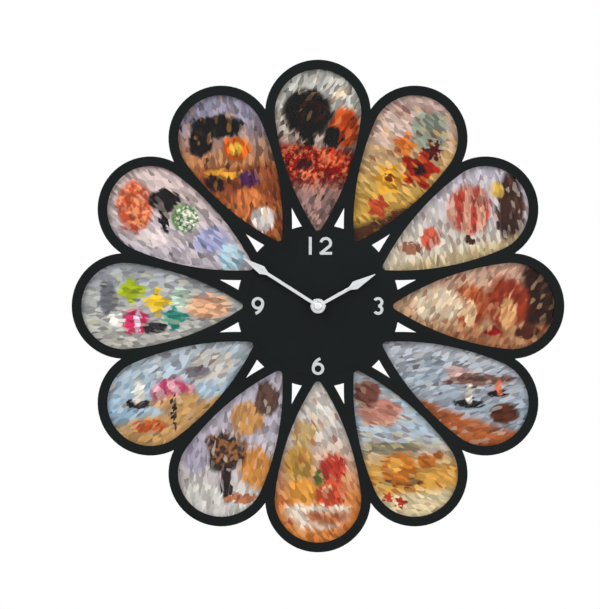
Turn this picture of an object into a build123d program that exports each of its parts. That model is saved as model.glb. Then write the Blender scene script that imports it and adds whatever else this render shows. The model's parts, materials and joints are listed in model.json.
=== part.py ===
from build123d import *
from math import atan2, cos, pi, radians, sin, sqrt
import os

os.makedirs("parts", exist_ok=True)

# A wall clock with twelve teardrop picture frames round a black dial. Millimetres, +Z up.
# The front faces -Y and the wall is the plane Y = 0. The origin is the middle of the hanger's keyhole.

# Frame in plan
petal_count = 12
clock_radius = 200.0        # hand axis to the outer edge of a petal
rim_width = 7.8             # black border round each picture
head_radius = 35.1          # round outer end of an opening
tip_radius = 61.1           # hand axis to the inner tip of an opening
tip_round = 3.0
flank_turn = 32.9           # degrees from a petal's middle line to its sides, where the tip begins
head_snips = 4              # straight snips on each half of a head of a pane, print or cover
collar_reach = 4.9          # tip of an opening out to the edge of the collar round the dial
seam = 0.05                 # glue line between neighbouring petal frames
tip_wall = 1.7              # between the dial and the tip of a pocket
ring_wall = 2.4             # skirt behind the dial, at its corners
ring_inset = 1.0            # dial's edge in to the skirt

# Frame in depth
movement_back = 3.2         # wall to the back of the movement
movement_depth = 16.0
hanger_sheet = 1.0
panel_gap = 0.8             # between the hanger and the dial
panel_thick = 3.0           # dial, and the lip over each window
rim_depth = 10.5
rebate = 2.4                # how far each pocket is wider than its opening
pocket_clearance = 0.25     # round panes and prints
cover_clearance = 0.05      # round covers, which are pressed in
window_thick = 1.0
print_thick = 0.3
cover_thick = 2.0

# Hands and figures
hour_angle = 61.0           # clockwise from twelve, as in the photograph
minute_angle = 302.5
hour_reach = 53.0
hour_head = 29.3            # hand axis to where the lance head starts
minute_reach = 72.0
minute_head = 48.8
stem_width = 2.6
head_width = 7.2
head_slope = 5.2            # length over which the head widens
point_width = 0.6
hand_sheet = 0.5
hour_boss = 6.0
minute_boss = 5.4
hand_gap = 2.2              # between the two hands
cap_radius = 3.6
cap_height = 2.8
cap_dome = 1.2
figure_inset = 0.95         # dial's edge in to the figures
figure_height = 14.5
figure_width = 10.2
figure_stroke = 2.4
figure_thick = 0.8
digit_pitch = 12.6
two_start = 170.0           # degrees: where the hook of a 2 starts, and how far it turns
two_sweep = 210.0
three_start = 150.0         # degrees: where the upper bowl of a 3 starts, and how far each turns
three_sweep = 240.0
tail_over = 1.95            # middle of a 6 to where its tail ends, across

# Movement case
case_chamfer = 1.2
case_wall = 1.4
bay_wall = 1.2
bush_radius = 4.0
bush_wall = 1.35
bush_hole_clearance = 0.2
nut_flats = 11.0
nut_thick = 2.4
bush_proud = 0.6
room_left = 11.0            # hand axis to the walls of the room for the motion work
room_right = 22.0
room_top = 20.5

# Hanger
hanger_width = 24.0
hanger_tail = 12.0          # hand axis down to the hanger's lower edge
hanger_gap = 1.4            # between the movement and the hanger's shelf
hanger_bend = 1.5
tab_top = 9.5               # keyhole up to the top of the tab
tab_clearance = 4.1         # top of the tab to the skirt
tab_chamfer = 6.0
keyhole_radius = 4.5
slot_radius = 2.2
slot_rise = 6.0

# Battery
battery_radius = 7.0
battery_length = 48.8
nub_radius = 2.7
nub_length = 1.2
cell_clearance = 0.3
contact_sheet = 0.4
contact_width = 8.0
leaf_gap = 0.1              # leaf's edge to the battery's end
leaf_room = 1.8             # leaf's plate to the battery's end
positive_gap = 0.6          # end wall's plate to the battery's nub

# Gears
running_clearance = 0.05
pivot_radius = 0.7
pivot_depth = 0.8
wheel_thick = 1.2
layer_gap = 0.3
motion_distance = 11.6
setting_distance = 11.6
motion_bearing = 35.0       # degrees, anticlockwise from the right, seen from the front
setting_bearing = 50.0
cannon_teeth = 6
motion_teeth = 18
motion_pinion_teeth = 6
hour_teeth = 24
setting_teeth = 6
addendum = 0.85             # in modules, as are the next three
dedendum = 1.25
tooth_tip = 0.56
tooth_root = 1.74
hour_tube_wall = 0.85
setting_arbor = 1.2
knob_radius = 6.0
knob_thick = 2.0
knob_gap = 0.3
knob_teeth = 18             # grip of the knob

# Worked out from the driving dimensions
half_sector = 180.0 / petal_count
collar_radius = tip_radius + collar_reach
dial_radius = tip_radius - rebate - tip_wall
ring_radius = dial_radius - ring_inset
ring_bore = ring_radius - ring_wall
keyhole_rise = ring_bore - tab_clearance - tab_top
figure_radius = dial_radius - figure_inset - figure_height / 2

case_front = movement_back + movement_depth
hanger_front = case_front + hanger_sheet
panel_back = hanger_front + panel_gap
face = panel_back + panel_thick
rim_back = face - rim_depth
window_front = face - panel_thick
print_front = window_front - window_thick
cover_front = print_front - print_thick
cover_back = cover_front - cover_thick

room_front = case_front - case_wall
bay_length = leaf_room + battery_length + nub_length + positive_gap + 2 * contact_sheet
inner_half = bay_length / 2
case_side = bay_length + 2 * case_wall
battery_y = -inner_half + cell_clearance + battery_radius
bay_top = battery_y + battery_radius + cell_clearance
room_bottom = bay_top + bay_wall

bush_bore = bush_radius - bush_wall
hour_tube_radius = bush_bore - running_clearance
hour_tube_bore = hour_tube_radius - hour_tube_wall
minute_radius = hour_tube_bore - running_clearance
bush_front = face + nut_thick + bush_proud
hour_hand_back = bush_front + layer_gap
hour_hand_front = hour_hand_back + hand_sheet
minute_hand_back = hour_hand_front + hand_gap
cap_back = minute_hand_back + hand_sheet

# Layers of the motion work, from the dial side back, and the split between the movement's halves
hour_front = room_front - layer_gap
hour_back = hour_front - wheel_thick
motion_front = hour_back - layer_gap
motion_back = motion_front - wheel_thick
split = motion_back - layer_gap
knob_front = movement_back - knob_gap


def in_front(depth, turn=0.0):
    """Plane square to the hand axis, depth in front of the wall: x right, y up, turned clockwise."""
    across = (cos(radians(turn)), 0, -sin(radians(turn)))
    return Plane(origin=(0, -depth, -keyhole_rise), x_dir=across, z_dir=(0, -1, 0))


def along(start, bearing, distance):
    """Point at a bearing and distance from another, in the plane of the dial."""
    turn = radians(bearing)
    return (start[0] + distance * cos(turn), start[1] + distance * sin(turn))


def save(sub_part, name):
    """Label a finished piece and write it."""
    sub_part.label = name
    export_step(sub_part, f"parts/{name}.step")


# Outline of a petal's opening: a round head, two long flanks and a round tip that meet in tangents,
# so that it grows evenly. Each arc runs from one direction of its outward normal to the next.
def petal_arcs():
    """(first normal, last normal, centre, radius) of each arc from the head to the tip, right side."""
    c, s = cos(radians(flank_turn)), sin(radians(flank_turn))
    head_middle = clock_radius - rim_width - head_radius
    tip_middle = tip_radius + tip_round
    drop = head_middle - tip_middle
    flank = drop ** 2 + tip_round ** 2 - head_radius ** 2 + 2 * tip_round * drop * s
    flank /= 2 * (drop * s + tip_round - head_radius)
    flank_middle = ((tip_round - flank) * c, tip_middle - (tip_round - flank) * s)
    head_turn = atan2(flank_middle[1] - head_middle, -flank_middle[0]) * 180 / pi
    return [
        (90.0, -head_turn, (0.0, head_middle), head_radius),
        (-head_turn, -flank_turn, flank_middle, flank),
        (-flank_turn, -90.0, (0.0, tip_middle), tip_round),
    ]


def petal(grow, depth):
    """Face of the petal outline at twelve, grown evenly, at a depth."""
    with BuildSketch(in_front(depth)) as face_sketch:
        with BuildLine():
            for first, last, middle, radius in petal_arcs():
                CenterArc(middle, radius + grow, first, last - first)
                CenterArc((-middle[0], middle[1]), radius + grow, 180 - first, first - last)
        make_face()
    return face_sketch.sketch


def petal_point(normal, grow):
    """Point of the grown outline whose outward normal has this direction."""
    first, last, middle, radius = next(arc for arc in petal_arcs() if arc[0] >= normal >= arc[1])
    return along(middle, normal, radius + grow)


def trimmed(grow, depth, turn=0.0):
    """Petal cut with straight snips, where the rim hides its edge."""
    head, flank, tip = petal_arcs()
    snip = (head[1] - head[0]) / (head_snips - 0.5)
    snips = [head[0] + snip * (place + 0.5) for place in range(head_snips)]
    snips += [(flank[0] + flank[1]) / 2, flank[1], tip[1]]
    right = [petal_point(normal, grow) for normal in snips]
    left = [(-x, y) for x, y in reversed(right[:-1])]
    with BuildSketch(in_front(depth, turn)) as face_sketch:
        with BuildLine():
            Polyline(*right, *left, close=True)
        make_face()
    return face_sketch.sketch


def drum(radius, back, front, at=(0, 0), mode=Mode.ADD):
    """Cylinder along the hand axis, between two depths, in the part being built."""
    with BuildSketch(in_front(back)) as face_sketch:
        with Locations(at):
            Circle(radius)
    extrude(face_sketch.sketch, amount=front - back, mode=mode)


def gear(teeth, module, back, front, at=(0, 0), phase=0.0):
    """Spur gear with straight-sided teeth, one of them at the phase, in degrees."""
    pitch_radius = module * teeth / 2
    root = pitch_radius - dedendum * module
    tip = pitch_radius + addendum * module
    root_half = tooth_root / 2 * module / root * 180 / pi
    tip_half = tooth_tip / 2 * module / tip * 180 / pi
    points = []
    for tooth in range(teeth):
        middle = phase + 360.0 * tooth / teeth
        points.append(along(at, middle - root_half, root))
        points.append(along(at, middle - tip_half, tip))
        points.append(along(at, middle + tip_half, tip))
        points.append(along(at, middle + root_half, root))
    with BuildSketch(in_front(back)) as face_sketch:
        with BuildLine():
            Polyline(*points, close=True)
        make_face()
    extrude(face_sketch.sketch, amount=front - back)


def meshed(bearing, driver_teeth, driver_phase, teeth):
    """Phase of a gear at a bearing from its driver, so that a tooth stands in a gap."""
    return bearing + 180 - 180 / teeth + (bearing - driver_phase) * driver_teeth / teeth


def module_of(distance, first_teeth, second_teeth):
    """Module of two gears whose axes are a distance apart."""
    return 2 * distance / (first_teeth + second_teeth)


# One petal frame with its share of the collar, between the lines to its neighbours
with BuildPart() as petal_frame:
    extrude(petal(rim_width, rim_back), amount=rim_depth)
    drum(collar_radius, rim_back, face)
    extrude(trimmed(rebate, rim_back), amount=rim_depth - panel_thick, mode=Mode.SUBTRACT)
    extrude(petal(0, window_front), amount=panel_thick, mode=Mode.SUBTRACT)
    with BuildSketch(in_front(rim_back)) as wedge:
        with BuildLine():
            apex = (0, seam / 2 / sin(radians(half_sector)))
            corner = along(apex, 90 - half_sector, 2 * clock_radius)
            Polyline(apex, corner, (-corner[0], corner[1]), close=True)
        make_face()
    extrude(amount=rim_depth, mode=Mode.INTERSECT)
    drum(dial_radius, rim_back, face, mode=Mode.SUBTRACT)

# Petal frames, identical, glued edge to edge round the dial
hand_axis = Axis((0, 0, -keyhole_rise), (0, -1, 0))
turns = [360.0 / petal_count * hour for hour in range(petal_count)]
with BuildPart() as petal_frames:
    add([petal_frame.part.rotate(hand_axis, turn) for turn in turns])
save(petal_frames.part, "petal_frames")

# Dial: a disc with a hole for the movement's bush
with BuildPart() as dial_plate:
    drum(dial_radius, panel_back, face)
    drum(bush_radius + bush_hole_clearance, panel_back, face, mode=Mode.SUBTRACT)
save(dial_plate.part, "dial_plate")

# Skirt behind the dial, which stands on the wall, with a side to each petal
with BuildPart() as wall_skirt:
    with BuildSketch(in_front(0)) as skirt_wall:
        RegularPolygon(ring_radius, petal_count)
        RegularPolygon(ring_bore, petal_count, mode=Mode.SUBTRACT)
    extrude(amount=panel_back)
save(wall_skirt.part, "wall_skirt")

# Clear panes, cut from sheet, identical
with BuildPart() as photo_windows:
    for turn in turns:
        extrude(trimmed(rebate - pocket_clearance, print_front, turn), amount=window_thick)
save(photo_windows.part, "photo_windows")

# Pictures, numbered by the hour that they stand at
for hour in range(1, petal_count + 1):
    with BuildPart() as photo_print:
        picture = trimmed(rebate - pocket_clearance, cover_front, turns[hour % petal_count])
        extrude(picture, amount=print_thick)
    save(photo_print.part, f"photo_print_{hour:02d}")

# Covers behind the pictures, pressed in, identical
with BuildPart() as petal_covers:
    for turn in turns:
        extrude(trimmed(rebate - cover_clearance, cover_back, turn), amount=cover_thick)
save(petal_covers.part, "petal_covers")


# Applied figures: strokes of even width along each digit's middle line
def stroke_along(lines, joints=()):
    """Strokes in the sketch being drawn, with round joints where they meet at a corner."""
    for line in lines:
        trace(line, figure_stroke)
    with Locations(*joints):
        Circle(figure_stroke / 2)


def round_digit(x, y, turn):
    """A 6, or a 9 when turned half round: a ring whose left side sweeps on into the tail."""
    bowl = (figure_width - figure_stroke) / 2
    half = figure_stroke / 2
    side = cos(radians(turn))
    drop = figure_height / 2 - figure_width / 2
    middle = (x, y - side * drop)
    rise = figure_height - half - figure_width / 2
    tail = (rise ** 2 + (bowl + tail_over) ** 2) / (2 * (bowl + tail_over))
    shift = tail - bowl
    tail_middle = (x + side * shift, middle[1])
    tail_end = atan2(rise, tail_over - shift) * 180 / pi
    meet_x = (shift ** 2 + (bowl + half) ** 2 - (tail - half) ** 2) / (2 * shift)
    meet_y = sqrt((bowl + half) ** 2 - meet_x ** 2)
    ring_meet = atan2(meet_y, meet_x) * 180 / pi
    tail_meet = atan2(meet_y, meet_x - shift) * 180 / pi
    with BuildLine(mode=Mode.PRIVATE) as pen:
        CenterArc(middle, bowl + half, turn + 180, ring_meet + 180)
        inner = CenterArc(tail_middle, tail - half, turn + tail_meet, tail_end - tail_meet)
        outer = CenterArc(tail_middle, tail + half, turn + tail_end, 180 - tail_end)
        Line(inner @ 1, outer @ 0)
    make_face(pen.edges())
    with Locations(middle):
        Circle(bowl - half, mode=Mode.SUBTRACT)


def open_digit(figure, x, y):
    """A 1, 2 or 3 about a point."""
    bowl = (figure_width - figure_stroke) / 2
    up = (figure_height - figure_stroke) / 2
    lobe = up / 2
    joints = []
    with BuildLine(mode=Mode.PRIVATE) as pen:
        if figure == "1":
            Line((x, y - figure_height / 2), (x, y + figure_height / 2))
        elif figure == "2":
            hook = CenterArc((x, y + up - bowl), bowl, two_start, -two_sweep)
            joints = [hook @ 1, (x - bowl, y - up)]
            Line(*joints)
            Line((x - bowl, y - up), (x + bowl + figure_stroke / 2, y - up))
        else:
            CenterArc((x, y + lobe), lobe, three_start, -three_sweep)
            CenterArc((x, y - lobe), lobe, 90, -three_sweep)
    stroke_along(pen.edges(), joints)


figures = {"12": (0, 1), "3": (1, 0), "6": (0, -1), "9": (-1, 0)}
with BuildPart() as figure_set:
    with BuildSketch(in_front(face)) as strokes:
        for figure, (right, up) in figures.items():
            for place, character in enumerate(figure):
                shift = (place - (len(figure) - 1) / 2) * digit_pitch
                x, y = right * figure_radius + shift, up * figure_radius
                if character in "69":
                    round_digit(x, y, 0 if character == "6" else 180)
                else:
                    open_digit(character, x, y)
    extrude(amount=figure_thick)
save(figure_set.part, "figures")


# Hands: a boss, a thin stem and a lance head, cut from sheet
def lance(depth, angle, head_start, reach, boss):
    """Outline of a hand that points along a clock angle."""
    with BuildSketch(in_front(depth, angle)) as outline:
        with BuildLine():
            right = [(stem_width / 2, 0), (stem_width / 2, head_start)]
            right += [(head_width / 2, head_start + head_slope), (point_width / 2, reach)]
            Polyline(*right, *[(-x, y) for x, y in reversed(right)], close=True)
        make_face()
        Circle(boss)
    return outline.sketch


with BuildPart() as hour_hand:
    extrude(lance(hour_hand_back, hour_angle, hour_head, hour_reach, hour_boss), amount=hand_sheet)
    drum(hour_tube_radius, hour_hand_back, hour_hand_front, mode=Mode.SUBTRACT)
save(hour_hand.part, "hour_hand")

with BuildPart() as minute_hand:
    blade = lance(minute_hand_back, minute_angle, minute_head, minute_reach, minute_boss)
    extrude(blade, amount=hand_sheet)
    drum(minute_radius, minute_hand_back, cap_back, mode=Mode.SUBTRACT)
save(minute_hand.part, "minute_hand")

with BuildPart() as cap_nut:
    drum(cap_radius, cap_back, cap_back + cap_height)
    chamfer(cap_nut.edges().sort_by(Axis.Y)[0], cap_dome)
save(cap_nut.part, "cap_nut")

# Nut that clamps the movement to the dial
with BuildPart() as mounting_nut:
    with BuildSketch(in_front(face)) as flats:
        RegularPolygon(nut_flats / 2, 6, major_radius=False)
        Circle(bush_radius, mode=Mode.SUBTRACT)
    extrude(amount=nut_thick)
save(mounting_nut.part, "mounting_nut")

# Hanger: a steel strip on the bush, bent back over the movement and up along the wall
with BuildPart() as hanger_plate:
    shelf = case_side / 2 + hanger_gap + hanger_sheet / 2 - keyhole_rise
    flat = -case_front - hanger_sheet / 2
    with BuildSketch(Plane.YZ) as strip:
        with BuildLine() as bend_line:
            FilletPolyline(
                (flat, -keyhole_rise - hanger_tail),
                (flat, shelf),
                (-hanger_sheet / 2, shelf),
                (-hanger_sheet / 2, tab_top),
                radius=hanger_bend,
            )
        trace(bend_line.line, hanger_sheet)
    extrude(amount=hanger_width / 2, both=True)
    chamfer(hanger_plate.edges().filter_by(Axis.Y).group_by(Axis.Z)[-1], tab_chamfer)
    chamfer(hanger_plate.edges().filter_by(Axis.Y).group_by(Axis.Z)[0], tab_chamfer)
    with BuildSketch(Plane.XZ) as keyhole:
        Circle(keyhole_radius)
        with Locations((0, slot_rise / 2)):
            Rectangle(2 * slot_radius, slot_rise)
        with Locations((0, slot_rise)):
            Circle(slot_radius)
    extrude(amount=hanger_sheet, mode=Mode.SUBTRACT)
    drum(bush_radius + running_clearance, case_front, hanger_front, mode=Mode.SUBTRACT)
save(hanger_plate.part, "hanger_plate")

# Axes of the motion work, from the hand axis
motion_axis = along((0, 0), motion_bearing, motion_distance)
setting_axis = along(motion_axis, setting_bearing, setting_distance)
pivot_hole = pivot_radius + running_clearance


def block(left, right, bottom, top, back, front):
    """Box cut out of the part being built, between two depths."""
    with BuildSketch(in_front(back)) as face_sketch:
        with Locations(((left + right) / 2, (bottom + top) / 2)):
            Rectangle(right - left, top - bottom)
    extrude(face_sketch.sketch, amount=front - back, mode=Mode.SUBTRACT)


# Movement case: the dial half, with the bush and the room for the motion work
with BuildPart() as movement_case:
    with BuildSketch(in_front(split)) as dial_half:
        Rectangle(case_side, case_side)
        chamfer(dial_half.vertices(), case_chamfer)
    extrude(amount=case_front - split)
    drum(bush_radius, case_front, bush_front)
    block(-room_left, room_right, room_bottom, room_top, split, room_front)
    block(-inner_half, inner_half, -inner_half, bay_top, split, room_front)
    drum(bush_bore, room_front, bush_front, mode=Mode.SUBTRACT)
    for axis in (motion_axis, setting_axis):
        drum(pivot_hole, room_front, room_front + pivot_depth, axis, mode=Mode.SUBTRACT)
save(movement_case.part, "movement_case")

# Movement cover: the wall half, solid where the sealed motor sits, with the open battery bay
with BuildPart() as movement_cover:
    with BuildSketch(in_front(movement_back)) as wall_half:
        Rectangle(case_side, case_side)
        chamfer(wall_half.vertices(), case_chamfer)
    extrude(amount=split - movement_back)
    block(-inner_half, inner_half, -inner_half, bay_top, movement_back, split)
    for axis in ((0, 0), motion_axis):
        drum(pivot_hole, split - pivot_depth, split, axis, mode=Mode.SUBTRACT)
    drum(setting_arbor + running_clearance, movement_back, split, setting_axis, mode=Mode.SUBTRACT)
save(movement_cover.part, "movement_cover")

# Modules and phases, gear by gear
cannon_module = module_of(motion_distance, cannon_teeth, motion_teeth)
hour_module = module_of(motion_distance, motion_pinion_teeth, hour_teeth)
setting_module = module_of(setting_distance, setting_teeth, motion_teeth)
motion_phase = meshed(motion_bearing, cannon_teeth, 0.0, motion_teeth)
hour_phase = meshed(motion_bearing + 180, motion_pinion_teeth, 0.0, hour_teeth)
setting_phase = meshed(setting_bearing, motion_teeth, motion_phase, setting_teeth)

# Motion work, which turns the hour hand once for twelve turns of the minute hand
pivot_back = split - pivot_depth + running_clearance
pivot_front = room_front + pivot_depth - running_clearance
with BuildPart() as minute_arbor:
    gear(cannon_teeth, cannon_module, motion_back, motion_front)
    drum(minute_radius, motion_front, cap_back)
    drum(pivot_radius, pivot_back, motion_back)
save(minute_arbor.part, "minute_arbor")

with BuildPart() as hour_wheel:
    gear(hour_teeth, hour_module, hour_back, hour_front, phase=hour_phase)
    drum(hour_tube_radius, hour_front, hour_hand_front)
    drum(hour_tube_bore, hour_back, hour_hand_front, mode=Mode.SUBTRACT)
save(hour_wheel.part, "hour_wheel")

with BuildPart() as motion_wheel:
    gear(motion_teeth, cannon_module, motion_back, motion_front, motion_axis, motion_phase)
    gear(motion_pinion_teeth, hour_module, motion_front, hour_front, motion_axis)
    drum(pivot_radius, pivot_back, motion_back, motion_axis)
    drum(pivot_radius, hour_front, pivot_front, motion_axis)
save(motion_wheel.part, "motion_wheel")

with BuildPart() as setting_knob:
    gear(setting_teeth, setting_module, motion_back, motion_front, setting_axis, setting_phase)
    drum(setting_arbor, knob_front, motion_back, setting_axis)
    drum(pivot_radius, motion_front, pivot_front, setting_axis)
    grip_module = 2 * knob_radius / (knob_teeth + 2 * addendum)
    gear(knob_teeth, grip_module, knob_front - knob_thick, knob_front, setting_axis)
save(setting_knob.part, "setting_knob")

# Battery and its contacts
bay_depth = room_front - cell_clearance - battery_radius
cell_right = inner_half - contact_sheet - positive_gap - nub_length
cell_plane = Plane(origin=(0, -bay_depth, battery_y - keyhole_rise), x_dir=(0, -1, 0), z_dir=(1, 0, 0))
with BuildPart() as battery:
    with BuildSketch(cell_plane.offset(cell_right - battery_length)) as jacket:
        Circle(battery_radius)
    extrude(amount=battery_length)
    with BuildSketch(cell_plane.offset(cell_right)) as nub:
        Circle(nub_radius)
    extrude(amount=nub_length)
save(battery.part, "battery")

with BuildPart() as positive_contact:
    with BuildSketch(cell_plane.offset(inner_half - contact_sheet)) as plate:
        Rectangle(contact_width, contact_width)
    extrude(amount=contact_sheet)
    with BuildSketch(cell_plane.offset(inner_half - contact_sheet - positive_gap)) as button:
        Rectangle(2 * nub_radius, 2 * nub_radius)
    extrude(amount=positive_gap)
save(positive_contact.part, "positive_contact")

with BuildPart() as negative_contact:
    cell_left = cell_right - battery_length
    level = battery_y - keyhole_rise
    with BuildSketch(Plane.XZ.offset(bay_depth)) as leaf:
        with BuildLine() as leaf_line:
            Polyline(
                (-inner_half + contact_sheet / 2, level - contact_width / 2),
                (-inner_half + contact_sheet / 2, level + contact_width / 2),
                (cell_left - contact_sheet / 2 - leaf_gap, level),
            )
        trace(leaf_line.line, contact_sheet)
    extrude(amount=contact_width / 2, both=True)
save(negative_contact.part, "negative_contact")
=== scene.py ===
# %% [markdown]
# # A wall clock with twelve picture frames
#
# The clock is a round black dial with twelve teardrop frames about it. Each frame holds a clear pane, a
# picture and a cover. The solids already have the right shapes and sizes, so this lesson leaves them where
# they are. It rounds the edges that catch the light, and gives every piece its own finish.

# %% Load the solids
import json
from math import atan2, cos, radians, sin

import bpy
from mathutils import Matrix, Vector

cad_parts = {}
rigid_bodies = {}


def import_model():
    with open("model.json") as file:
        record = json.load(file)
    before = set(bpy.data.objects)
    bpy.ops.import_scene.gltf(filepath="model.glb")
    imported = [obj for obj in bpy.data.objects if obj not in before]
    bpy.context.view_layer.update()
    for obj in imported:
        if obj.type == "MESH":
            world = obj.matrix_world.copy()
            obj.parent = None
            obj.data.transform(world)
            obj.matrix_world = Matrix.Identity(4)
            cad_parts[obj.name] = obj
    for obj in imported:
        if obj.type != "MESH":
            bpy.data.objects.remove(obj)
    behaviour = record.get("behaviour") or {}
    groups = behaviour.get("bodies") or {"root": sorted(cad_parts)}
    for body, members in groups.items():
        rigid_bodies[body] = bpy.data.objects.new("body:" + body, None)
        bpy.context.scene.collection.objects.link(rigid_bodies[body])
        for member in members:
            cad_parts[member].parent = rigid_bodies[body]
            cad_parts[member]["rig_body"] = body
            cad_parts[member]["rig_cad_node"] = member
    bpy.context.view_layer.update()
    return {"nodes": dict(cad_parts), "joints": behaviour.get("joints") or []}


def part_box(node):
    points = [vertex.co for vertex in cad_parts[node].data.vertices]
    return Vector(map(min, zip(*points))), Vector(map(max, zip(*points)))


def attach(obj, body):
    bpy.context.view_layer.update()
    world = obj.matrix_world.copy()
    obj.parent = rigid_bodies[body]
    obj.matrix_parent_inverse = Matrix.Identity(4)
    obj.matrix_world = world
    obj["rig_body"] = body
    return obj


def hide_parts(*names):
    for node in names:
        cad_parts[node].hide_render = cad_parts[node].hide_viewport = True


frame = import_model()
nodes = frame["nodes"]
scene = bpy.context.scene
scene.view_settings.view_transform = "Standard"

# %% [markdown]
# ## Camera
#
# The photograph looks straight at the dial from far away: all twelve petals are the same size and no side
# of a rim shows. A long lens three metres off gives that view. The clock isn't quite in the middle of
# the picture, so the camera is moved sideways by as much, and still looks straight ahead.

# %% Camera
PHOTO_WIDTH, PHOTO_HEIGHT = 600, 609         # pixels
AXIS_PIXEL_X, AXIS_PIXEL_Y = 318.0, 306.0    # where the hand axis shows
REACH_PIXELS = 246.4                         # hand axis to the outer edge of a petal
CAMERA_DISTANCE = 3.0                        # metres, from the front face
SENSOR = 36.0                                # millimetres, along the picture's longer side

minute_joint = next(joint for joint in frame["joints"] if joint["name"] == "minute_turn")
axis_x, axis_z = minute_joint["pos_m"][0], minute_joint["pos_m"][2]
frame_low, frame_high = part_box("petal_frames")
reach = (frame_high.x - frame_low.x) / 2
pixel = reach / REACH_PIXELS

bpy.ops.object.camera_add(
    location=(
        axis_x + (PHOTO_WIDTH / 2 - AXIS_PIXEL_X) * pixel,
        frame_low.y - CAMERA_DISTANCE,
        axis_z + (AXIS_PIXEL_Y - PHOTO_HEIGHT / 2) * pixel,
    ),
    rotation=(radians(90), 0, 0),
)
camera = bpy.context.object
camera.data.sensor_width = SENSOR
camera.data.lens = SENSOR * CAMERA_DISTANCE / (PHOTO_HEIGHT * pixel)
scene.camera = camera
print("lens, mm:", round(camera.data.lens, 1))

# %% [markdown]
# ## Shader maths
#
# A finish is a small network of nodes. Wiring it by hand hides the sums, so one class wraps a socket and
# lets Python's own operators add the Math nodes. Every other node comes from the method node(), which takes
# the node's type, its settings and what goes into its sockets.

# %% The socket class
class Wire:
    """A value in a node tree, with plain arithmetic."""

    def __init__(self, tree, socket=None):
        self.tree = tree
        self.socket = socket

    def node(self, kind, settings=None, inputs=None, output=None):
        made = self.tree.nodes.new("ShaderNode" + kind)
        for key, value in (settings or {}).items():
            setattr(made, key, value)
        for key, value in (inputs or {}).items():
            named = [plug for plug in made.inputs if plug.name == key and plug.enabled]
            plug = named[0] if named else made.inputs[key]
            if isinstance(value, Wire):
                self.tree.links.new(value.socket, plug)
            elif plug.type == "RGBA":
                plug.default_value = (*value, 1.0)
            else:
                plug.default_value = value
        shown = [plug for plug in made.outputs if plug.enabled]
        return Wire(self.tree, made.outputs[output] if output else shown[0])

    def math(self, operation, *others):
        return self.node("Math", {"operation": operation}, dict(enumerate((self, *others))))

    def feed(self, socket):
        """Link this value to the tree's main shader."""
        self.tree.links.new(self.socket, self.tree.nodes["Principled BSDF"].inputs[socket])

    def __add__(self, other):
        return self.math("ADD", other)

    def __sub__(self, other):
        return self.math("SUBTRACT", other)

    def __rsub__(self, other):
        return self.node("Math", {"operation": "SUBTRACT"}, {0: other, 1: self})

    def __mul__(self, other):
        return self.math("MULTIPLY", other)

    def __truediv__(self, other):
        return self.math("DIVIDE", other)

    __radd__ = __add__
    __rmul__ = __mul__


print("a wire can:", ", ".join(name for name in vars(Wire) if not name.startswith("_")))

# %% [markdown]
# A few helpers shorten what every finish needs. Colours are chosen on a screen, whose scale isn't even: its
# middle grey gives back only a fifth of the light. So ink() turns screen values into shares of light.

# %% Helpers for finishes
def ink(red, green, blue):
    """Linear colour from the 0 to 255 values of a screen colour."""
    linear = lambda v: v / 12.92 if v <= 0.04045 else ((v + 0.055) / 1.055) ** 2.4
    return tuple(linear(value / 255) for value in (red, green, blue))


def new_finish(name, constants):
    """A material with its constant sockets set, and a wire to build the rest from."""
    material = bpy.data.materials.new(name)
    material.use_nodes = True
    shader = material.node_tree.nodes["Principled BSDF"]
    for socket, value in constants.items():
        shader.inputs[socket].default_value = (*value, 1.0) if isinstance(value, tuple) else value
    return material, Wire(material.node_tree)


def place_of(start):
    """The point on the piece, in metres."""
    return start.node("TexCoord", output="Object")


def along(place, axis):
    """How far a point lies along X, Y or Z."""
    return place.node("SeparateXYZ", None, {"Vector": place}, axis)


def distance(across, up):
    """Length of a line that goes so far across and so far up."""
    return (across * across + up * up).math("SQRT")


def stretched(place, scale):
    """The point, with each axis stretched by its own scale."""
    return place.node("Mapping", None, {"Vector": place, "Scale": scale})


def laid_along(place, turn, size):
    """The point, turned about Y in radians and then measured in lengths of the given size."""
    settings = {"Vector": place, "Rotation": (0, turn, 0), "Scale": size}
    return place.node("Mapping", {"vector_type": "TEXTURE"}, settings)


def noise(place, scale, detail=2.0):
    return place.node("TexNoise", None, {"Vector": place, "Scale": scale, "Detail": detail})


def step(value, low, high):
    """Soft step from 0 at low to 1 at high."""
    return value.node(
        "MapRange", {"interpolation_type": "SMOOTHSTEP"}, {"Value": value, "From Min": low, "From Max": high}
    )


def over(base, mask, colour):
    """Colour laid over another where the mask is 1."""
    return mask.node("Mix", {"data_type": "RGBA"}, {"Factor": mask, "A": base, "B": colour})


def bump(height, depth):
    """Fine relief, its depth in metres."""
    height.node("Bump", None, {"Height": height, "Strength": 0.5, "Distance": depth}).feed("Normal")


def dress(piece, material):
    piece.data.materials.clear()
    piece.data.materials.append(material)


print("middle grey gives back", round(ink(128, 128, 128)[0], 2), "of the light")

# %% [markdown]
# ## Light and floor
#
# The photograph is a catalogue picture on pure white with no hard shadow. Two large soft lamps light the
# front, and a weaker one lights the back, so that the clock can be looked at from behind as well. The world
# is white to the camera and in reflections, and dimmer as a light. The clock hangs clear of a pale floor.

# %% Lamps, world and floor
FLOOR_DROP = 0.12      # metres, from the lowest petal
FLOOR_RADIUS = 0.85    # metres
FLOOR_SIDES = 96       # enough to look round
WORLD_LIGHT = 0.35     # the world's strength as a light


def softbox(name, place, size, watts):
    """A square lamp that faces the dial."""
    aim = Vector((axis_x, 0, axis_z)) - Vector(place)
    bpy.ops.object.light_add(type="AREA", location=place, rotation=aim.to_track_quat("-Z", "Y").to_euler())
    lamp = bpy.context.object
    lamp.name = name
    lamp.data.size = size
    lamp.data.energy = watts


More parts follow.
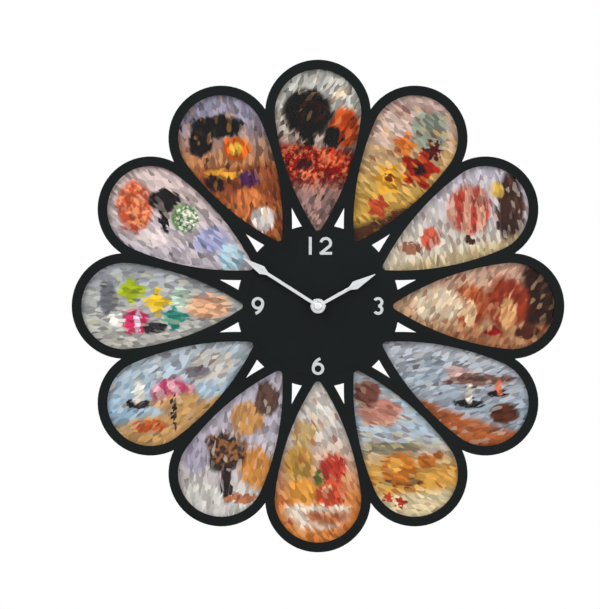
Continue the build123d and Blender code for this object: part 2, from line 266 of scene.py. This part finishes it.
softbox("key_lamp", (-1.1, -1.5, 1.2), 1.2, 26)
softbox("fill_lamp", (1.3, -1.6, 0.3), 1.4, 14)
softbox("back_lamp", (0.6, 1.5, 1.0), 1.2, 18)

world = bpy.data.worlds.new("studio")
world.use_nodes = True
scene.world = world
sky = Wire(world.node_tree)
straight = sky.node("LightPath", output="Is Camera Ray")
mirrored = sky.node("LightPath", output="Is Glossy Ray")
through = sky.node("LightPath", output="Is Transmission Ray")
seen = (straight + mirrored + through).math("MINIMUM", 1.0)
background = world.node_tree.nodes["Background"]
background.inputs["Color"].default_value = (1.0, 1.0, 1.0, 1.0)
strength = WORLD_LIGHT + (1.0 - WORLD_LIGHT) * seen
world.node_tree.links.new(strength.socket, background.inputs["Strength"])

bpy.ops.object.select_all(action="DESELECT")
floor_place = (axis_x, 0, frame_low.z - FLOOR_DROP)
bpy.ops.mesh.primitive_circle_add(
    vertices=FLOOR_SIDES, radius=FLOOR_RADIUS, fill_type="NGON", location=floor_place
)
floor = bpy.context.object
floor.name = "floor"
floor_finish, start = new_finish("floor_paper", {"Roughness": 0.9, "Specular IOR Level": 0.2})
shade = noise(place_of(start), 6.0)
over(ink(243, 243, 242), shade, ink(249, 249, 248)).feed("Base Color")
dress(floor, floor_finish)
print("lamps: 3, floor at", round(floor_place[2], 3))

# %% [markdown]
# ## Rounded edges
#
# A moulding or a stamping never has a perfectly sharp edge, and the thin line of light along its edges is
# what makes it look solid. The solids have sharp edges. Each of them that shows is copied, its triangles
# are merged back into flat faces, and a Bevel modifier rounds the edges that turn by more than a set angle.
# Points closer than the weld distance become one, which also closes the glue line between two frames. Faces
# that the rounding left without any width are taken out. Last, a Weighted Normal modifier keeps the light on
# wide flat faces even, right up to their rounded edges.

# %% Rounded copies
FLAT_TURN = 0.5       # degrees: faces that meet at less are merged into one
BEVEL_TURN = 25.0     # degrees: an edge that turns by more is rounded
SMOOTH_TURN = 35.0    # degrees: faces that meet at less are shaded as one
SAME_PLACE = 2e-6     # metres: points closer than this are one point


def rounded(name, width, segments=2, weld=SAME_PLACE):
    """A copy of a solid that stands for it and rides with it, its sharp edges rounded by width in metres."""
    solid = nodes[name]
    body = solid["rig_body"]
    bpy.ops.object.select_all(action="DESELECT")
    solid.select_set(True)
    bpy.context.view_layer.objects.active = solid
    bpy.ops.object.duplicate()
    piece = bpy.context.object
    piece.name = name + "_rounded"
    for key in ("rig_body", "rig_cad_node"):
        del piece[key]
    bpy.ops.object.mode_set(mode="EDIT")
    bpy.ops.mesh.select_all(action="SELECT")
    bpy.ops.mesh.customdata_custom_splitnormals_clear()
    bpy.ops.mesh.remove_doubles(threshold=weld)
    bpy.ops.mesh.dissolve_limited(angle_limit=radians(FLAT_TURN))
    bpy.ops.mesh.select_all(action="DESELECT")
    bpy.ops.mesh.select_mode(type="FACE")
    bpy.ops.mesh.select_interior_faces()
    bpy.ops.mesh.delete(type="FACE")
    bpy.ops.object.mode_set(mode="OBJECT")
    bevel = piece.modifiers.new("edges", "BEVEL")
    bevel.width = width
    bevel.segments = segments
    bevel.limit_method = "ANGLE"
    bevel.angle_limit = radians(BEVEL_TURN)
    bpy.ops.object.modifier_apply(modifier=bevel.name)
    bpy.ops.object.mode_set(mode="EDIT")
    bpy.ops.mesh.select_all(action="SELECT")
    bpy.ops.mesh.dissolve_degenerate(threshold=SAME_PLACE)
    bpy.ops.object.mode_set(mode="OBJECT")
    bpy.ops.object.shade_smooth_by_angle(angle=radians(SMOOTH_TURN))
    flat = piece.modifiers.new("flat_faces", "WEIGHTED_NORMAL")
    flat.keep_sharp = True
    bpy.ops.object.modifier_apply(modifier=flat.name)
    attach(piece, body)
    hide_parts(name)
    print(piece.name, "faces:", len(piece.data.polygons))
    return piece


print("edges that turn by more than", BEVEL_TURN, "degrees will be rounded")

# %% [markdown]
# ## Black frames and dial
#
# The petal frames, the dial and the skirt behind it are moulded in black plastic with a satin skin. In the
# photograph they are nearly as dark as ink, with only a faint sheen. So the shader's own gloss is turned
# down, its roughness wanders a little, and a very fine grain breaks up the reflections.

# %% Black frames and dial
SEAM_WELD = 0.0001    # metres, wider than the glue line
satin_black, start = new_finish("satin_black", {"Specular IOR Level": 0.08})
point = place_of(start)
cloud = noise(point, 22.0, 4.0)
grain = noise(point, 2600.0, 1.0)
over(ink(15, 18, 18), cloud, ink(24, 28, 28)).feed("Base Color")
(0.34 + 0.12 * cloud + 0.06 * grain).feed("Roughness")
bump(grain, 0.00002)

dress(rounded("petal_frames", 0.0008, segments=3, weld=SEAM_WELD), satin_black)
dress(rounded("dial_plate", 0.0002), satin_black)
dress(rounded("wall_skirt", 0.0004), satin_black)

# %% [markdown]
# ## Clear panes
#
# Each pane is a millimetre of clear sheet. Real refraction would cost much and show nothing, so the pane is
# mostly transparent, with a smooth surface that only shows where it mirrors a lamp. A pane lies a hair
# clear of the picture, because two faces in one plane would flicker, so the copy is a little thinner.

# %% Clear panes
PANE_SHARE = 0.9     # of the sheet's thickness

clear_sheet, start = new_finish("clear_sheet", {"Base Color": ink(60, 66, 66), "IOR": 1.49})
haze = noise(place_of(start), 60.0)
(0.05 + 0.05 * haze).feed("Roughness")
(0.03 + 0.02 * haze).feed("Alpha")

panes = rounded("photo_windows", 0.0001, segments=1)
pane_low, pane_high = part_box("photo_windows")
bpy.ops.object.mode_set(mode="EDIT")
bpy.ops.mesh.select_all(action="SELECT")
bpy.ops.transform.resize(value=(1, PANE_SHARE, 1), center_override=(pane_low + pane_high) / 2)
bpy.ops.object.mode_set(mode="OBJECT")
dress(panes, clear_sheet)

# %% [markdown]
# ## Pictures
#
# The petals hold twelve snapshots in warm colours. Their own pictures are left to whoever hangs the clock,
# so these are plain landscapes, flowers and toys, painted by the finish itself. A picture is a stack of
# shapes, each laid over those before, and it is painted in brush strokes. A stroke is a cell of a Voronoi
# texture that is stretched and turned. Each cell has its own random colour, and its red and green shift all
# points of the stroke together. So a stroke has one colour, and the edge of a shape breaks up into strokes.

# %% Tools for painting
PICTURE_RADIUS = 0.150    # metres, from the hand axis to the middle of a picture
PICTURE_UNIT = 0.035      # one unit in a picture, about half its width
STROKE = (0.0066, 1.0, 0.0027)   # metres: how long a stroke is, any depth, and how wide
STROKE_TURN = 40          # degrees, from one picture's strokes to the next's
WANDER = 0.10             # units by which a stroke may miss its place
LOBE_DEPTH = 0.22         # how deep the notches between a flower's petals are
SPOT_SOFT = 0.08          # how soft the edge of a spot is
PICTURES = []             # how to paint it, a bright and a dark accent, contrast


class Canvas:
    """Where a picture's shapes are: x to the right and y up, from the middle of the petal's round end."""

    def __init__(self, start, hour):
        turn = radians(360 / 12 * hour)
        point = place_of(start)
        self.point = point
        brush = laid_along(point, radians(STROKE_TURN * hour), STROKE)
        stroke = brush.node("TexVoronoi", None, {"Vector": brush, "Scale": 1.0}, "Color")
        red, green, blue = (
            stroke.node("SeparateColor", None, {"Color": stroke}, part) for part in ("Red", "Green", "Blue")
        )
        self.tone = blue
        self.accent = (red * 7.0 + green * 5.0).math("FRACT")    # a new random value out of two
        middle_x = axis_x + PICTURE_RADIUS * sin(turn)
        middle_z = axis_z + PICTURE_RADIUS * cos(turn)
        self.x = (along(point, "X") - middle_x) / PICTURE_UNIT + WANDER * (red - 0.5)
        self.y = (along(point, "Z") - middle_z) / PICTURE_UNIT + WANDER * (green - 0.5)

    def blob(self, x, y, width, height, soft=0.18):
        """Ellipse."""
        away = distance((self.x - x) / width, (self.y - y) / height)
        return step(away, 1 + soft, 1 - soft)

    def below(self, level, slope=0.0, soft=0.12):
        """Everything under a sloping line."""
        return step(self.y - slope * self.x, level + soft, level - soft)

    def blossom(self, x, y, size, petals):
        """Flower with round petals."""
        across, up = self.x - x, self.y - y
        lobe = (up.math("ARCTAN2", across) * petals).math("COSINE")
        edge = 1 - LOBE_DEPTH + LOBE_DEPTH * lobe
        return step(distance(across, up) / edge, size * 1.1, size * 0.9)

    def bars(self, slope, count):
        """Soft stripes."""
        return step(((self.x + slope * self.y) * count).math("SINE"), -0.3, 0.3)

    def speckle(self, scale, share):
        """Scattered spots that cover about this share."""
        level = 0.6 - 0.12 * share
        return step(noise(self.point, scale, 1.0), level - SPOT_SOFT, level + SPOT_SOFT)


def wash(canvas, high, low, level=0.0, spread=1.2):
    """A sky that fades from one colour to another."""
    return over(low, step(canvas.y, level - spread, level + spread), high)


print("one unit of a picture is", round(PICTURE_UNIT * 1000), "mm")

# %% [markdown]
# The pictures are listed by the hour that they stand at. Each starts with a wash and lays shapes on it in
# the order in which a painter would: far things first, then the middle ground, then small bright things.
# The first four are flowers, a balloon, arches in a desert and two boats.

# %% Pictures one to four
def poppy_field(c):
    view = wash(c, ink(226, 206, 198), ink(228, 196, 120), -0.3)
    view = over(view, c.blob(0.45, 0.35, 0.42, 0.5), ink(178, 184, 170))
    view = over(view, c.blob(-0.35, 0.3, 0.4, 0.3), ink(233, 214, 205))
    view = over(view, c.below(-1.35, 0.4), ink(120, 88, 66))
    view = over(view, c.blossom(0.2, -0.55, 0.48, 5), ink(196, 72, 48))
    view = over(view, c.blossom(-0.5, -0.75, 0.42, 6), ink(240, 196, 96))
    view = over(view, c.blossom(-0.15, 0.02, 0.3, 5), ink(238, 162, 92))
    view = over(view, c.blossom(0.55, -0.1, 0.24, 6), ink(118, 48, 44))
    view = over(view, c.blob(0.2, -0.55, 0.12, 0.12), ink(70, 30, 30))
    view = over(view, c.blob(-0.5, -0.75, 0.1, 0.1), ink(140, 84, 36))
    return over(view, c.blossom(-0.75, -1.4, 0.28, 5), ink(214, 120, 84))


def red_balloon(c):
    view = wash(c, ink(222, 216, 226), ink(232, 222, 202), -0.2)
    view = over(view, c.blob(0.75, 0.1, 0.3, 0.9), ink(86, 58, 50))
    view = over(view, c.below(-0.75, 0.25), ink(222, 204, 166))
    view = over(view, c.blob(-0.2, 0.1, 0.5, 0.56), ink(196, 92, 80))
    view = over(view, c.blob(-0.2, 0.1, 0.5, 0.56) * c.bars(0.0, 18.0), ink(230, 178, 156))
    view = over(view, c.blob(-0.2, -0.62, 0.13, 0.1), ink(92, 60, 46))
    view = over(view, c.blob(0.45, 0.55, 0.16, 0.2), ink(240, 206, 120))
    view = over(view, c.blob(-1.1, -0.55, 0.22, 0.26), ink(216, 118, 96))
    return over(view, c.blob(-1.6, -0.8, 0.3, 0.12), ink(176, 128, 104))


def desert_arches(c):
    view = wash(c, ink(224, 194, 176), ink(212, 180, 148), 0.1, 0.9)
    view = over(view, c.blob(0.85, 0.2, 0.45, 0.9), ink(74, 46, 36))
    view = over(view, c.blob(0.1, 0.05, 0.5, 0.62), ink(178, 92, 64))
    view = over(view, c.blob(0.12, -0.18, 0.2, 0.4), ink(240, 196, 150))
    view = over(view, c.blob(-0.75, 0.0, 0.42, 0.5), ink(204, 128, 88))
    view = over(view, c.blob(-0.75, -0.18, 0.16, 0.3), ink(244, 216, 184))
    view = over(view, c.below(-0.5, 0.05), ink(190, 146, 114))
    view = over(view, c.blob(0.6, -0.6, 0.3, 0.16), ink(112, 66, 46))
    view = over(view, c.blob(-1.5, 0.05, 0.6, 0.4), ink(240, 226, 204))
    return over(view, c.blob(-0.2, -0.6, 0.2, 0.1), ink(176, 54, 44))


def quiet_harbour(c):
    view = wash(c, ink(206, 210, 216), ink(178, 190, 202), 0.1)
    view = over(view, c.blob(-0.7, 0.55, 0.6, 0.2), ink(228, 200, 196))
    view = over(view, c.blob(0.0, 0.42, 0.9, 0.14), ink(150, 120, 110))
    view = over(view, c.below(-0.5, -0.35), ink(196, 130, 84))
    view = over(view, c.blob(0.62, -0.35, 0.34, 0.24), ink(122, 76, 52))
    view = over(view, c.blob(-0.2, -0.1, 0.34, 0.1), ink(52, 48, 52))
    view = over(view, c.blob(-0.18, 0.12, 0.1, 0.26), ink(238, 234, 226))
    view = over(view, c.blob(0.45, 0.1, 0.22, 0.08), ink(60, 44, 42))
    view = over(view, c.blob(0.47, 0.26, 0.08, 0.2), ink(226, 150, 120))
    return over(view, c.blob(-1.2, 0.62, 0.5, 0.3), ink(190, 200, 210))


PICTURES += [
    (poppy_field, ink(244, 208, 128), ink(150, 56, 40), 1.6),
    (red_balloon, ink(244, 236, 224), ink(150, 100, 88), 1.35),
    (desert_arches, ink(246, 214, 176), ink(150, 62, 40), 1.5),
    (quiet_harbour, ink(240, 236, 232), ink(108, 86, 84), 1.5),
]
print("pictures so far:", len(PICTURES))

# %% [markdown]
# The lower petals stand on their heads, but their pictures don't: x is always to the right and y always up.
# These four are a hay field, a bowl of fruit, an oak in winter and an umbrella on a beach.

# %% Pictures five to eight
def hay_field(c):
    view = wash(c, ink(190, 204, 214), ink(226, 176, 92), 0.3, 0.5)
    view = over(view, c.blob(-0.4, 0.42, 0.7, 0.14), ink(150, 142, 120))
    view = over(view, c.blob(0.66, 0.24, 0.14, 0.11), ink(186, 118, 56))
    view = over(view, c.blob(0.38, 0.12, 0.2, 0.16), ink(196, 122, 50))
    view = over(view, c.blob(-0.2, -0.38, 0.52, 0.1), ink(118, 78, 46))
    view = over(view, c.blob(-0.26, -0.08, 0.42, 0.36), ink(208, 136, 54))
    view = over(view, c.blob(-0.34, 0.02, 0.2, 0.16), ink(238, 184, 96))
    view = over(view, c.below(-0.62, 0.1), ink(236, 220, 184))
    view = over(view, c.blossom(-0.5, -0.72, 0.15, 5), ink(206, 88, 60))
    view = over(view, c.blossom(-0.22, -0.86, 0.13, 5), ink(196, 72, 52))
    view = over(view, c.blob(-0.7, 1.25, 0.5, 0.35), ink(204, 150, 136))
    return over(view, c.blob(-1.0, 1.7, 0.3, 0.3), ink(128, 84, 74))


def fruit_bowl(c):
    view = wash(c, ink(222, 216, 210), ink(222, 150, 84), 0.6, 1.0)
    view = over(view, c.blob(-0.45, 0.6, 0.34, 0.5), ink(204, 164, 92))
    view = over(view, c.blob(0.35, 0.5, 0.3, 0.36), ink(204, 84, 68))
    view = over(view, c.blob(-0.35, -0.05, 0.32, 0.32), ink(236, 176, 88))
    view = over(view, c.blob(0.3, -0.1, 0.36, 0.34), ink(216, 104, 70))
    view = over(view, c.blob(0.2, 0.04, 0.1, 0.1), ink(244, 196, 160))
    view = over(view, c.blob(0.0, 0.28, 0.12, 0.2), ink(120, 136, 74))
    bowl = c.below(-0.34, 0.0, 0.05)
    view = over(view, bowl * c.blob(0.0, -0.34, 0.76, 0.56), ink(238, 226, 212))
    view = over(view, bowl * c.blob(0.2, -0.3, 0.62, 0.5) * c.below(-0.5), ink(196, 128, 88))
    view = over(view, c.blob(-0.3, 1.3, 0.3, 0.3), ink(214, 188, 140))
    return over(view, c.blob(0.15, 1.7, 0.2, 0.5), ink(228, 222, 216))


def lone_oak(c):
    view = wash(c, ink(198, 190, 204), ink(214, 206, 198), 0.0)
    view = over(view, c.below(-0.55, -0.2), ink(224, 220, 214))
    view = over(view, c.blob(0.72, -0.05, 0.4, 0.5), ink(214, 146, 72))
    view = over(view, c.blob(-0.05, 0.3, 0.52, 0.46), ink(58, 42, 38))
    view = over(view, c.blob(0.02, -0.35, 0.12, 0.5), ink(44, 32, 30))
    view = over(view, c.blob(0.05, 0.42, 0.5, 0.4) * c.speckle(260.0, 0.7), ink(150, 100, 60))
    view = over(view, c.blob(-0.7, 0.25, 0.28, 0.4), ink(176, 168, 186))
    view = over(view, c.blob(0.5, 1.1, 0.4, 0.4), ink(206, 152, 92))
    view = over(view, c.blob(0.95, 1.55, 0.3, 0.4), ink(96, 70, 58))
    return over(view, c.blob(0.35, -0.75, 0.4, 0.1), ink(190, 120, 82))


def beach_umbrella(c):
    view = wash(c, ink(206, 214, 220), ink(176, 204, 222), 0.3)
    view = over(view, c.below(-0.35, 0.3), ink(214, 176, 124))
    view = over(view, c.blob(0.35, 0.12, 0.5, 0.34), ink(214, 104, 140))
    view = over(view, c.blob(0.35, 0.12, 0.5, 0.34) * c.bars(0.6, 15.0), ink(246, 196, 206))
    view = over(view, c.below(-0.02, 0.25) * c.blob(0.35, 0.0, 0.6, 0.3), ink(214, 176, 124))
    view = over(view, c.blob(0.36, -0.3, 0.05, 0.42), ink(72, 60, 60))
    view = over(view, c.blob(-0.5, -0.14, 0.34, 0.1), ink(58, 50, 52))
    view = over(view, c.blob(-0.46, 0.16, 0.14, 0.26), ink(240, 238, 230))
    view = over(view, c.blob(-0.2, -0.66, 0.4, 0.14), ink(206, 116, 62))
    view = over(view, c.blob(1.25, 0.75, 0.5, 0.36), ink(214, 210, 206))
    return over(view, c.blob(0.9, 0.62, 0.3, 0.14), ink(150, 144, 150))


PICTURES += [
    (hay_field, ink(244, 226, 178), ink(168, 96, 44), 1.25),
    (fruit_bowl, ink(246, 216, 168), ink(186, 74, 52), 1.3),
    (lone_oak, ink(232, 222, 214), ink(88, 62, 56), 1.05),
    (beach_umbrella, ink(246, 226, 200), ink(120, 84, 92), 1.35),
]
print("pictures so far:", len(PICTURES))

# %% [markdown]
# The last four are kites, a garden, a sunset by the sea, and a tree behind a red meadow. Where a mask is the
# product of two others, a shape shows only where both are: that is how leaves and flowers are scattered.

# %% Pictures nine to twelve
def flying_kites(c):
    view = wash(c, ink(196, 200, 204), ink(214, 212, 206), 0.0)
    view = over(view, c.blob(0.05, -0.35, 0.3, 0.3), ink(226, 84, 140))
    view = over(view, c.blossom(-0.05, 0.35, 0.34, 4), ink(196, 208, 74))
    view = over(view, c.blossom(0.55, 0.1, 0.32, 4), ink(240, 214, 92))
    view = over(view, c.blossom(0.95, -0.25, 0.3, 4), ink(92, 176, 164))
    view = over(view, c.blob(1.1, 0.2, 0.26, 0.2), ink(220, 236, 222))
    view = over(view, c.blob(-0.6, 0.15, 0.22, 0.4), ink(150, 152, 156))
    view = over(view, c.blob(-0.4, -0.3, 0.18, 0.2), ink(238, 236, 232))
    view = over(view, c.blob(0.5, -0.5, 0.26, 0.14), ink(86, 84, 92))
    view = over(view, c.blob(1.75, 0.0, 0.5, 0.3), ink(238, 200, 172))
    return over(view, c.blob(0.1, -0.35, 0.08, 0.3), ink(250, 226, 236))


def garden_gate(c):
    view = wash(c, ink(230, 212, 208), ink(214, 206, 212), 0.0)
    view = over(view, c.blob(-0.55, 0.15, 0.4, 0.6), ink(220, 116, 84))
    view = over(view, c.blob(-0.5, 0.2, 0.4, 0.5) * c.speckle(240.0, 0.6), ink(244, 176, 132))
    view = over(view, c.blob(0.15, 0.3, 0.36, 0.26), ink(48, 42, 44))
    view = over(view, c.blob(0.15, -0.05, 0.1, 0.4), ink(40, 36, 38))
    view = over(view, c.blob(0.62, -0.1, 0.3, 0.34), ink(120, 156, 102))
    view = over(view, c.blob(0.68, -0.12, 0.26, 0.3) * c.speckle(300.0, 0.9), ink(238, 240, 228))
    view = over(view, c.blob(-0.15, -0.55, 0.34, 0.2), ink(238, 226, 224))
    view = over(view, c.blob(1.25, -0.6, 0.4, 0.3), ink(188, 190, 222))
    return over(view, c.blob(1.7, -1.0, 0.3, 0.3), ink(196, 220, 232))


def evening_headland(c):
    view = wash(c, ink(190, 186, 200), ink(214, 170, 132), 0.1, 0.7)
    view = over(view, c.blob(-0.2, 0.45, 0.62, 0.26), ink(46, 40, 46))
    view = over(view, c.blob(-0.6, 0.1, 0.26, 0.34), ink(56, 46, 52))
    view = over(view, c.blob(0.25, -0.05, 0.3, 0.28), ink(236, 150, 70))
    view = over(view, c.blob(0.25, -0.05, 0.16, 0.15), ink(250, 214, 120))
    view = over(view, c.below(-0.5, 0.1), ink(186, 128, 92))
    view = over(view, c.blob(0.0, -0.65, 0.5, 0.1), ink(244, 200, 110))
    view = over(view, c.blob(0.55, -0.75, 0.26, 0.2), ink(128, 84, 132))
    view = over(view, c.blob(-0.25, -0.85, 0.24, 0.18), ink(88, 58, 60))
    view = over(view, c.blob(0.5, -1.35, 0.4, 0.35), ink(222, 160, 116))
    return over(view, c.blob(0.85, -1.7, 0.3, 0.3), ink(238, 232, 228))


def red_meadow(c):
    view = wash(c, ink(222, 222, 218), ink(206, 180, 170), -0.5)
    view = over(view, c.blob(0.62, -0.15, 0.36, 0.46), ink(222, 140, 74))
    view = over(view, c.blob(-0.22, -0.4, 0.11, 0.4), ink(40, 30, 30))
    view = over(view, c.blob(-0.24, 0.2, 0.56, 0.54), ink(46, 36, 35))
    view = over(view, c.blob(-0.1, 0.3, 0.4, 0.36) * c.speckle(230.0, 0.4), ink(112, 74, 58))
    view = over(view, c.blob(0.34, -0.36, 0.2, 0.28), ink(56, 42, 38))
    view = over(view, c.blob(0.56, 0.66, 0.16, 0.14), ink(244, 238, 226))
    view = over(view, c.below(-0.62, -0.15), ink(188, 70, 60))
    view = over(view, c.blob(0.3, -0.8, 0.3, 0.2), ink(224, 128, 96))
    view = over(view, c.below(-0.62, -0.15) * c.speckle(280.0, 0.5), ink(236, 176, 140))
    view = over(view, c.blob(-0.3, -1.0, 0.2, 0.12), ink(120, 40, 42))
    return over(view, c.below(-1.45, 0.0, 0.3), ink(206, 184, 180))


PICTURES += [
    (flying_kites, ink(246, 240, 214), ink(136, 132, 140), 1.65),
    (garden_gate, ink(244, 226, 216), ink(64, 60, 58), 1.4),
    (evening_headland, ink(250, 206, 140), ink(70, 50, 58), 1.8),
    (red_meadow, ink(240, 214, 190), ink(92, 44, 42), 2.2),
]
print("pictures so far:", len(PICTURES))

# %% [markdown]
# No two strokes of a brush are alike. Each is a little lighter or darker than the picture asks, by the blue
# of its random colour, and a few are tinged with one of two accents. A Gamma node then deepens the darks and
# the colours by the contrast that each picture has. Over it all lies the faint sheen of paper.

# %% Print the pictures
TINT = {"data_type": "RGBA", "blend_type": "MULTIPLY"}
DARKEST, TONES = 0.68, 0.6            # a stroke's lowest tone, and how far the tones reach above it
ACCENT_SHARE = 0.2                    # of the strokes are tinged with each accent
BRIGHT_ACCENT, DARK_ACCENT = 0.45, 0.5

for hour, (paint, bright, dark, contrast) in enumerate(PICTURES, 1):
    paper, start = new_finish(f"print_{paint.__name__}", {"Specular IOR Level": 0.12})
    canvas = Canvas(start, hour)
    colour = paint(canvas)
    colour = colour.node("Mix", TINT, {"Factor": 1.0, "A": colour, "B": DARKEST + TONES * canvas.tone})
    colour = over(colour, step(canvas.accent, 1 - ACCENT_SHARE, 1.0) * BRIGHT_ACCENT, bright)
    colour = over(colour, step(canvas.accent, ACCENT_SHARE, 0.0) * DARK_ACCENT, dark)
    colour.node("Gamma", None, {"Color": colour, "Gamma": contrast}).feed("Base Color")
    (0.42 + 0.1 * noise(canvas.point, 900.0, 1.0)).feed("Roughness")
    dress(nodes[f"photo_print_{hour:02d}"], paper)
print("pictures painted:", len(PICTURES))

# %% [markdown]
# ## Hands and figures
#
# The hands are stamped from bright aluminium and brushed along their length. The lines come from noise that
# is stretched along each hand: a Mapping node turns it to the angle at which the hand stands. Its type is
# Texture, which turns before it stretches; the type Point would stretch first.

# %% Hands
BRUSH_LINE = (0.00011, 0.00011, 0.008)    # metres: width, depth and length of a line


def hand_angle(name):
    """Radians, clockwise from twelve, to the far end of a hand."""
    points = [vertex.co for vertex in nodes[name].data.vertices]
    end = max(points, key=lambda p: (p.x - axis_x) ** 2 + (p.z - axis_z) ** 2)
    return atan2(end.x - axis_x, end.z - axis_z)


def brushed_aluminium(name):
    """Bright metal with fine lines along the hand."""
    material, start = new_finish(f"brushed_{name}", {"Metallic": 1.0})
    lines = noise(laid_along(place_of(start), hand_angle(name), BRUSH_LINE), 1.0)
    over(ink(188, 192, 195), step(lines, 0.3, 0.7), ink(234, 236, 238)).feed("Base Color")
    (0.2 + 0.16 * lines).feed("Roughness")
    bump(lines, 0.00001)
    return material


for name in ("hour_hand", "minute_hand"):
    hand = rounded(name, 0.00012)
    dress(hand, brushed_aluminium(name))

# %% [markdown]
# The figures are cast, so they have a softer and greyer skin than the hands, with no direction in it.

# %% Figures
cast_silver, start = new_finish("cast_silver", {"Metallic": 1.0})
skin = noise(place_of(start), 900.0, 3.0)
over(ink(176, 180, 182), skin, ink(206, 209, 211)).feed("Base Color")
(0.3 + 0.15 * skin).feed("Roughness")
bump(skin, 0.00002)
dress(rounded("figures", 0.0002), cast_silver)

# %% [markdown]
# ## Turned pieces
#
# The cap, the nut and the arbor are turned. A lathe leaves rings about the axis, so the finish measures each
# point's distance from the hand axis and makes rings of it.

# %% Cap, nut and arbor
def turned_metal(name, dark, bright, roughness, rings):
    """Metal with fine rings about the hand axis."""
    material, start = new_finish(name, {"Metallic": 1.0})
    point = place_of(start)
    away = distance(along(point, "X") - axis_x, along(point, "Z") - axis_z)
    ring = (away * rings).math("SINE") * 0.5 + 0.5
    stain = noise(point, 300.0)
    over(dark, stain, bright).feed("Base Color")
    (roughness + 0.06 * ring + 0.05 * stain).feed("Roughness")
    bump(ring, 0.000006)
    return material


polished = turned_metal("polished_cap", ink(226, 228, 230), ink(244, 245, 246), 0.08, 30000)
plated = turned_metal("plated_nut", ink(196, 196, 192), ink(222, 222, 218), 0.22, 24000)
brass = turned_metal("turned_brass", ink(176, 140, 74), ink(212, 178, 104), 0.2, 26000)
dress(rounded("cap_nut", 0.0004, segments=3), polished)
dress(rounded("mounting_nut", 0.00015), plated)
dress(nodes["minute_arbor"], brass)

# %% [markdown]
# ## Behind the dial
#
# From behind, the clock is plainer: brown hardboard covers, a black movement in a grained plastic case, a
# bent steel hanger, a white setting knob and a battery with a bare sleeve. Hardboard is pressed from fibres,
# so its noise is finer one way than the other, and a coarse mottle darkens it here and there.

# %% Hardboard covers
hardboard, start = new_finish("hardboard", {"Specular IOR Level": 0.25})
point = place_of(start)
fibre = noise(stretched(point, (700, 700, 2200)), 1.0, 4.0)
mottle = noise(point, 45.0, 3.0)
board = over(ink(104, 72, 46), fibre, ink(142, 102, 66))
over(board, step(mottle, 0.45, 0.8) * 0.4, ink(84, 58, 38)).feed("Base Color")
(0.55 + 0.2 * fibre).feed("Roughness")
bump(fibre, 0.00006)
dress(rounded("petal_covers", 0.0003), hardboard)

# %% [markdown]
# The movement's case, its knob and its wheels are moulded. A case is given a fine grain that hides scratches,
# so one helper makes all the plastics, and only colours and roughness differ.

# %% Plastics of the movement
def grained_plastic(name, dark, bright, roughness):
    """Moulded plastic with the fine pits of a spark-eroded mould."""
    material, start = new_finish(name, {"Specular IOR Level": 0.4})
    point = place_of(start)
    pits = noise(point, 1500.0)
    flow = noise(point, 40.0)
    over(dark, flow, bright).feed("Base Color")
    (roughness + 0.15 * pits).feed("Roughness")
    bump(pits, 0.00004)
    return material


case_plastic = grained_plastic("grained_black", ink(34, 34, 36), ink(48, 48, 51), 0.45)
for name in ("movement_case", "movement_cover"):
    dress(rounded(name, 0.0004), case_plastic)
knob_plastic = grained_plastic("knob_white", ink(214, 212, 204), ink(232, 230, 223), 0.35)
dress(rounded("setting_knob", 0.0002), knob_plastic)
gear_plastic = grained_plastic("gear_white", ink(226, 223, 212), ink(238, 236, 226), 0.3)
for name in ("hour_wheel", "motion_wheel"):
    dress(nodes[name], gear_plastic)

# %% [markdown]
# The hanger and the contacts are cut from plated strip. Zinc shows its crystals as patches, which a Voronoi
# texture gives, and rolling leaves faint lines along the strip.

# %% Steel of the hanger and contacts
def plated_steel(name, dark, bright, roughness, spangle):
    """Sheet steel with the patches that plating leaves."""
    material, start = new_finish(name, {"Metallic": 1.0})
    point = place_of(start)
    patch = point.node("TexVoronoi", None, {"Vector": point, "Scale": spangle}, "Distance")
    drawn = noise(stretched(point, (6000, 200, 200)), 1.0)
    over(dark, patch, bright).feed("Base Color")
    (roughness + 0.12 * patch + 0.08 * drawn).feed("Roughness")
    bump(drawn, 0.00001)
    return material


zinc = plated_steel("zinc_steel", ink(168, 171, 175), ink(204, 207, 209), 0.28, 220)
dress(rounded("hanger_plate", 0.0002), zinc)
nickel = plated_steel("nickel_steel", ink(190, 188, 180), ink(220, 218, 210), 0.2, 600)
for name in ("positive_contact", "negative_contact"):
    dress(rounded(name, 0.0001), nickel)

# %% [markdown]
# The battery is a steel can in a shrunk sleeve. The sleeve stops short of both ends, so the finish looks at
# how far along the cell each point is, and turns from sleeve to bare metal there.

# %% Battery
SLEEVE_START = 0.0016     # metres from the flat end
SLEEVE_STOP = 0.00384     # metres from the end with the nub
SLEEVE_FADE = 0.00064     # metres in which metal turns to sleeve
BAND = 0.014              # metres, a lighter band at the end with the nub
BAND_FADE = 0.0005        # metres

battery_low, battery_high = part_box("battery")
sleeve, start = new_finish("battery_sleeve", {})
point = place_of(start)
place = along(point, "X")
sleeve_low, sleeve_high = battery_low.x + SLEEVE_START, battery_high.x - SLEEVE_STOP
covered = step(place, sleeve_low - SLEEVE_FADE, sleeve_low)
covered = covered * step(place, sleeve_high + SLEEVE_FADE, sleeve_high)
band = step(place, battery_high.x - BAND, battery_high.x - BAND + BAND_FADE)
streak = noise(stretched(point, (300, 4000, 4000)), 1.0)
printed = over(over(ink(70, 84, 96), streak, ink(84, 99, 112)), band, ink(196, 200, 200))
over(ink(206, 205, 200), covered, printed).feed("Base Color")
(1.0 - covered).feed("Metallic")
(0.22 + 0.1 * streak).feed("Roughness")
bump(streak, 0.000008)
dress(rounded("battery", 0.0004, segments=3), sleeve)

# %% [markdown]
# ## Size
#
# Rounding takes nothing from the flat faces, so the dressed clock must fill the same box as the solids.
